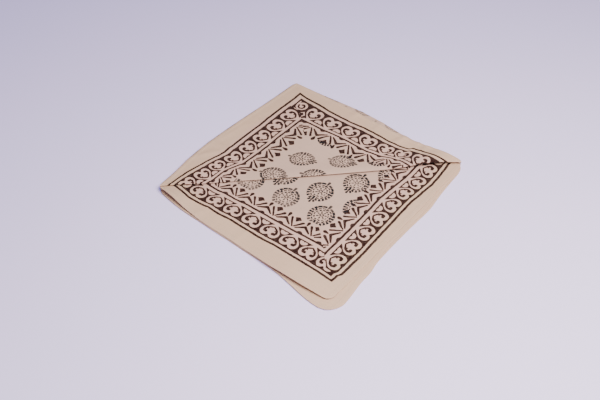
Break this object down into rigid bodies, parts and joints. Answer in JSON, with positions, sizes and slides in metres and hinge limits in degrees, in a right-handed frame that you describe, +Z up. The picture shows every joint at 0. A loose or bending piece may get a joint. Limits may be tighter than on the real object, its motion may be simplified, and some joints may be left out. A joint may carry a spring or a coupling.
{
  "type": "folded block-printed cotton cloth",
  "caption": "Square printed cotton cloth folded in quarters and laid flat, with the free corner of its top layer turned back along the diagonal.",
  "frame": {"origin": "on the surface the cloth lies on, under the middle of its box", "axes": "+Z up from the surface; +X along the open edge from the left corner to the near corner; +Y along the folded edge from the left corner to the far corner"},
  "size_m": [0.3066, 0.311, 0.0134],
  "materials": {
    "printed_cotton": "plain-woven undyed cotton, block-printed in dark brown and indigo"
  },
  "bodies": {
    "root": {"cloth": "printed_cotton"}
  },
  "joints": []
}
